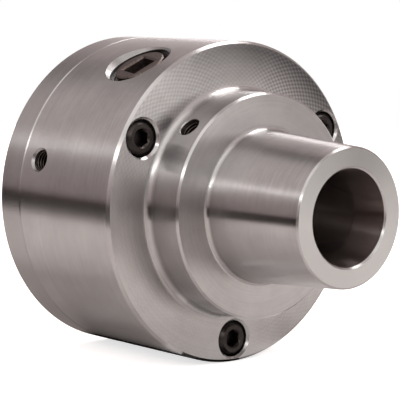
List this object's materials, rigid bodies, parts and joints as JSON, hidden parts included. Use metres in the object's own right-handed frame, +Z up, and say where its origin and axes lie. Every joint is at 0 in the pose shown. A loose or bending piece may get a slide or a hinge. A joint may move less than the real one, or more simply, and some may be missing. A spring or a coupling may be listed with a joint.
{
  "type": "collet chuck",
  "caption": "Key-operated lathe collet chuck with a stepped round body, tapered nose, open collet bore and a short-taper spindle mount.",
  "frame": {"origin": "centre of the flat rear face that seats on the spindle, on the spindle axis", "axes": "+X along the spindle axis from the rear face to the nose, +Z up with one clamp screw at the bottom, +Y completes the right-handed set"},
  "size_m": [0.1315, 0.125, 0.125],
  "materials": {
    "ground_steel": "ground satin",
    "black_steel": "black oxide",
    "dark_gear_steel": "hardened, lightly oiled",
    "bearing_steel": "polished",
    "cage_brass": "satin"
  },
  "bodies": {
    "chuck": {"chuck_body": "ground_steel", "backplate": "ground_steel", "collet_key_screw": "black_steel", "pinion_retaining_pin": "bearing_steel", "thrust_washer_front": "bearing_steel", "clamp_screw_1": "black_steel", "clamp_screw_2": "black_steel", "clamp_screw_3": "black_steel"},
    "draw_nut_body": {"draw_nut": "dark_gear_steel", "thrust_washer_rear": "bearing_steel"},
    "pinion_body": {"pinion": "dark_gear_steel"},
    "ball_cage": {"thrust_cage": "cage_brass", "thrust_ball_01": "bearing_steel", "thrust_ball_02": "bearing_steel", "thrust_ball_03": "bearing_steel", "thrust_ball_04": "bearing_steel", "thrust_ball_05": "bearing_steel", "thrust_ball_06": "bearing_steel", "thrust_ball_07": "bearing_steel", "thrust_ball_08": "bearing_steel", "thrust_ball_09": "bearing_steel", "thrust_ball_10": "bearing_steel", "thrust_ball_11": "bearing_steel", "thrust_ball_12": "bearing_steel", "thrust_ball_13": "bearing_steel", "thrust_ball_14": "bearing_steel", "thrust_ball_15": "bearing_steel", "thrust_ball_16": "bearing_steel", "thrust_ball_17": "bearing_steel", "thrust_ball_18": "bearing_steel"},
    "adjuster_1": {"adjusting_screw_1": "black_steel"},
    "adjuster_2": {"adjusting_screw_2": "black_steel"},
    "adjuster_3": {"adjusting_screw_3": "black_steel"},
    "adjuster_4": {"adjusting_screw_4": "black_steel"}
  },
  "joints": [
    {"name": "nut_spin", "type": "hinge", "parent": "chuck", "child": "draw_nut_body", "pos_m": [0.0456, 0, 0], "axis": [1, 0, 0], "continuous": true},
    {"name": "pinion_spin", "type": "hinge", "parent": "chuck", "child": "pinion_body", "pos_m": [0.0456, 0, 0], "axis": [0, -0.4909, 0.8712], "continuous": true},
    {"name": "cage_spin", "type": "hinge", "parent": "chuck", "child": "ball_cage", "pos_m": [0.0456, 0, 0], "axis": [1, 0, 0], "continuous": true},
    {"name": "adjuster_1_travel", "type": "slide", "parent": "chuck", "child": "adjuster_1", "axis": [0, -0.9659, 0.2588], "range_m": [0, 0.0005]},
    {"name": "adjuster_2_travel", "type": "slide", "parent": "chuck", "child": "adjuster_2", "axis": [0, 0.2588, 0.9659], "range_m": [0, 0.0005]},
    {"name": "adjuster_3_travel", "type": "slide", "parent": "chuck", "child": "adjuster_3", "axis": [0, 0.9659, -0.2588], "range_m": [0, 0.0005]},
    {"name": "adjuster_4_travel", "type": "slide", "parent": "chuck", "child": "adjuster_4", "axis": [0, -0.2588, -0.9659], "range_m": [0, 0.0005]}
  ],
  "couplings": [
    {"joint": "pinion_spin", "follows": "nut_spin", "ratio": 5},
    {"joint": "cage_spin", "follows": "nut_spin", "ratio": 0.5}
  ]
}
